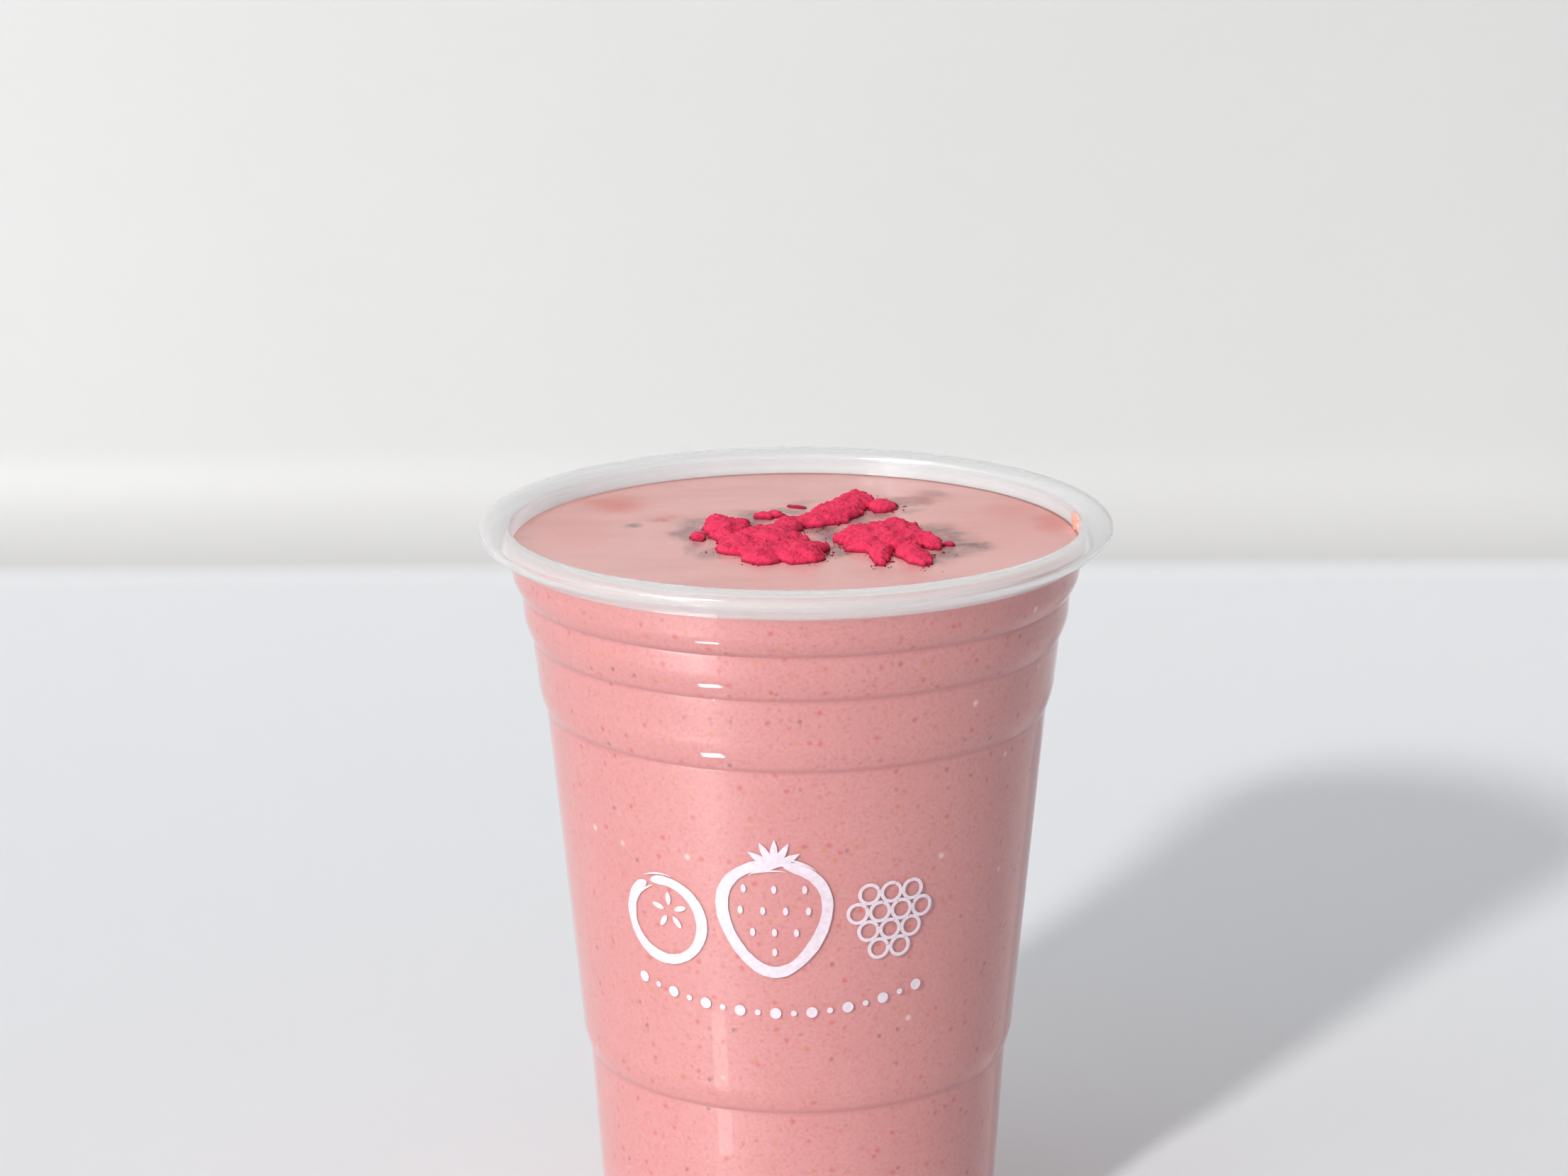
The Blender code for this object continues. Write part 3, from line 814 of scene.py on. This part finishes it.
def splash():
    """A lens on the inside of the neck: rings of an ellipse with a wavy edge, whose thickness is
    t sqrt(1 - q squared) at the share q of the way out, closed by a back inside the wall."""
    turns = np.linspace(0, math.tau, SPLASH_SECTORS, endpoint=False)
    q, turn = np.meshgrid(np.linspace(1, 0.05, SPLASH_RINGS), turns, indexing="ij")
    wavy = 1 + 0.16 * np.sin(3 * turn + 0.8) + 0.09 * np.sin(5 * turn + 2.1)
    along = q * wavy * SPLASH_HALF[0] * np.cos(turn)
    z = SPLASH_HEIGHT + q * wavy * SPLASH_HALF[1] * np.sin(turn)
    wall = NECK_RADIUS - WALL + (z - NECK_HEIGHT) * NECK_LEAN
    angle = math.radians(SPLASH_ANGLE) + along / NECK_RADIUS
    sides = []
    for depth in (SPLASH_THICKNESS * np.sqrt(1 - q**2), -SPLASH_INTO_WALL + 0 * q):
        r = wall - depth
        sides.append(np.stack([r * np.cos(angle), r * np.sin(angle), z], axis=2))
    front, back = sides[0].reshape(-1, 3), sides[1].reshape(-1, 3)
    count = q.size
    here = np.arange(count).reshape(q.shape)
    beyond = np.roll(here, -1, axis=1)
    quads = np.stack([here[:-1], here[1:], beyond[1:], beyond[:-1]], axis=2).reshape(-1, 4)
    edge = np.stack([here[0], beyond[0], beyond[0] + count, here[0] + count], axis=1)
    faces = quads.tolist() + (quads[:, ::-1] + count).tolist() + edge.tolist()
    faces += [here[-1].tolist(), (here[-1][::-1] + count).tolist()]
    return np.concatenate([front, back]), faces


def dried_drink():
    """Thin dried drink: pale orange-pink with darker grains of fruit."""
    made, tree, output = new_material("berry_drink_dried_smear")
    place = node(tree, "ShaderNodeTexCoord").outputs["Object"]
    grains = noise(tree, place, 1500.0, 2.0)
    smear = node(
        tree,
        "ShaderNodeBsdfPrincipled",
        {"Roughness": 0.35, "Subsurface Weight": 0.3, "Subsurface Scale": 0.0005},
        {"Base Color": blended(tree, grains, "#F8CDB9", "#EB9C88")},
    )
    tree.links.new(smear.outputs[0], output.inputs["Surface"])
    return made


splash_points, splash_faces = splash()
add_piece("splash", splash_points, splash_faces, dried_drink())


# THE STUDIO
# A pale matt table that runs up into a wall, low sunlight from the front left that throws a soft
# shadow, and even light from all round.
CAMERA_PLACE = (-1.83, -554.6, 253.7)
CAMERA_PITCH = 14.867
CAMERA_ROLL = 0.3
PHOTO_WIDTH = 2212
FOCAL_PIXELS = 5371.4
SENSOR = 36.0
WALL_BEHIND = 436.0
COVE_RADIUS = 30.0
PAINT_FROM = 3.0
ROOM = 2500.0
SUN_AZIMUTH = 32.0
SUN_ELEVATION = 25.5
SUN_STRENGTH = 2.25
SUN_ANGLE = 4.5
WINDOW_PLACE = (-1500, -800, 1000)
WINDOW_SIZE = 1.2
WINDOW_POWER = 4.5
# Strength of the room's light at the far left and the far right, and of its ceiling in reflections
ROOM_LEFT, ROOM_RIGHT, CEILING = 0.50, 0.18, 0.62
CEILING_AS_LIGHT = 0.12

camera_data = bpy.data.cameras.new("camera")
camera_data.sensor_width = SENSOR
camera_data.lens = FOCAL_PIXELS / PHOTO_WIDTH * SENSOR
camera = bpy.data.objects.new("camera", camera_data)
camera.location = [value * MM for value in CAMERA_PLACE]
tilted = Matrix.Rotation(math.radians(90 - CAMERA_PITCH), 4, "X")
camera.rotation_euler = (tilted @ Matrix.Rotation(math.radians(-CAMERA_ROLL), 4, "Z")).to_euler()
bpy.context.scene.collection.objects.link(camera)
bpy.context.scene.camera = camera


def studio_paint():
    """Matt white laminate on the table, with a trace of gloss, that turns to white wall paint over
    the cove; both slightly uneven."""
    made, tree, output = new_material("white_laminate_and_paint")
    place = node(tree, "ShaderNodeTexCoord").outputs["Object"]
    height = node(tree, "ShaderNodeSeparateXYZ", links={0: place}).outputs["Z"]
    base = blended(tree, ranged(tree, height, 0.0, PAINT_FROM * MM), "#EAECEF", "#C9C9C8")
    paler = ranged(tree, noise(tree, place, 9.0, 2.0), 0.0, 1.0, 0.0, 0.06)
    uneven = blended(tree, paler, base, "#FFFFFF")
    values = {"Roughness": 0.55, "Specular IOR Level": 0.3}
    paint = node(tree, "ShaderNodeBsdfPrincipled", values, {"Base Color": uneven})
    tree.links.new(paint.outputs[0], output.inputs["Surface"])
    return made


bend = np.radians(np.linspace(-90, 0, 25))
cove_y = WALL_BEHIND - COVE_RADIUS + COVE_RADIUS * np.cos(bend)
backdrop_y = np.concatenate([[-ROOM], cove_y, [WALL_BEHIND]])
backdrop_z = np.concatenate([[0], COVE_RADIUS + COVE_RADIUS * np.sin(bend), [ROOM]])
backdrop_x = np.array([[-ROOM], [ROOM]]) + 0 * backdrop_y
backdrop_rows = np.stack([backdrop_x, backdrop_y + 0 * backdrop_x, backdrop_z + 0 * backdrop_x], axis=2)
backdrop_mesh = bpy.data.meshes.new("backdrop")
count = len(backdrop_y)
backdrop_mesh.from_pydata(
    (backdrop_rows.reshape(-1, 3) * MM).tolist(),
    [],
    [(k, k + count, k + count + 1, k + 1) for k in range(count - 1)],
)
backdrop_mesh.materials.append(studio_paint())
backdrop_mesh.shade_smooth()
backdrop = bpy.data.objects.new("backdrop", backdrop_mesh)
bpy.context.scene.collection.objects.link(backdrop)

sun_data = bpy.data.lights.new("sun", "SUN")
sun_data.energy = SUN_STRENGTH
sun_data.angle = math.radians(SUN_ANGLE)
sun_data.color = (1.0, 0.975, 0.95)
sun = bpy.data.objects.new("sun", sun_data)
sun.rotation_euler = (math.radians(90 - SUN_ELEVATION), 0, math.radians(-SUN_AZIMUTH))
bpy.context.scene.collection.objects.link(sun)

window_data = bpy.data.lights.new("window", "AREA")
window_data.shape = "RECTANGLE"
window_data.size = window_data.size_y = WINDOW_SIZE
window_data.energy = WINDOW_POWER
window_data.color = (0.95, 0.98, 1.0)
window = bpy.data.objects.new("window", window_data)
window.location = [value * MM for value in WINDOW_PLACE]
window.rotation_euler = (math.radians(62), 0, math.radians(-62))
bpy.context.scene.collection.objects.link(window)

# Lamps that are seen in gloss alone: a tall gap of the window, and two gleams of it on the table.
# Each has a place, the point that it faces, a size, a spread in degrees and a power.
GLEAMS = (
    ("window_gap", (-790, -905, 230), (0, 0, 100), (0.16, 0.80), 180, 60.0),
    ("far_gleam", (-76, -102, 3), (-13, -37, 101), (0.022, 0.012), 24, 0.0005),
    ("near_gleam", (-44, -66, 3), (-12, -31, 34), (0.009, 0.034), 80, 0.0003),
)
for gleam_name, gleam_place, faces_point, gleam_size, gleam_spread, gleam_power in GLEAMS:
    gleam_data = bpy.data.lights.new(gleam_name, "AREA")
    gleam_data.shape = "RECTANGLE"
    gleam_data.size, gleam_data.size_y = gleam_size
    gleam_data.spread = math.radians(gleam_spread)
    gleam_data.energy = gleam_power
    gleam = bpy.data.objects.new(gleam_name, gleam_data)
    gleam.location = [value * MM for value in gleam_place]
    gleam.rotation_euler = (Vector(faces_point) - Vector(gleam_place)).to_track_quat("-Z", "Y").to_euler()
    gleam.visible_camera = False
    gleam.visible_diffuse = False
    bpy.context.scene.collection.objects.link(gleam)

world = bpy.data.worlds.new("studio")
world.use_nodes = True
world.node_tree.nodes["Background"].inputs["Color"].default_value = (0.93, 0.955, 1.0, 1.0)
room_tree = world.node_tree
seen = node(room_tree, "ShaderNodeTexCoord").outputs["Generated"]
towards = node(room_tree, "ShaderNodeSeparateXYZ", links={0: seen})
# The room is darker on the right, away from the windows
fading = ranged(room_tree, towards.outputs["X"], -1.0, 1.0, ROOM_LEFT, ROOM_RIGHT)
# The white ceiling and the windows' tops, which the rim shows, count in gloss and through clear things
ceiling = ranged(room_tree, towards.outputs["Z"], -0.05, 0.3, 0.0, CEILING)
ray = node(room_tree, "ShaderNodeLightPath")
mirrored = combined(room_tree, "MAXIMUM", ray.outputs["Is Glossy Ray"], ray.outputs["Is Transmission Ray"])
shown = combined(room_tree, "MULTIPLY", ceiling, combined(room_tree, "MAXIMUM", mirrored, CEILING_AS_LIGHT))
strength = combined(room_tree, "ADD", fading, shown)
room_tree.links.new(strength, room_tree.nodes["Background"].inputs["Strength"])
bpy.context.scene.world = world
bpy.context.scene.view_settings.view_transform = "Standard"
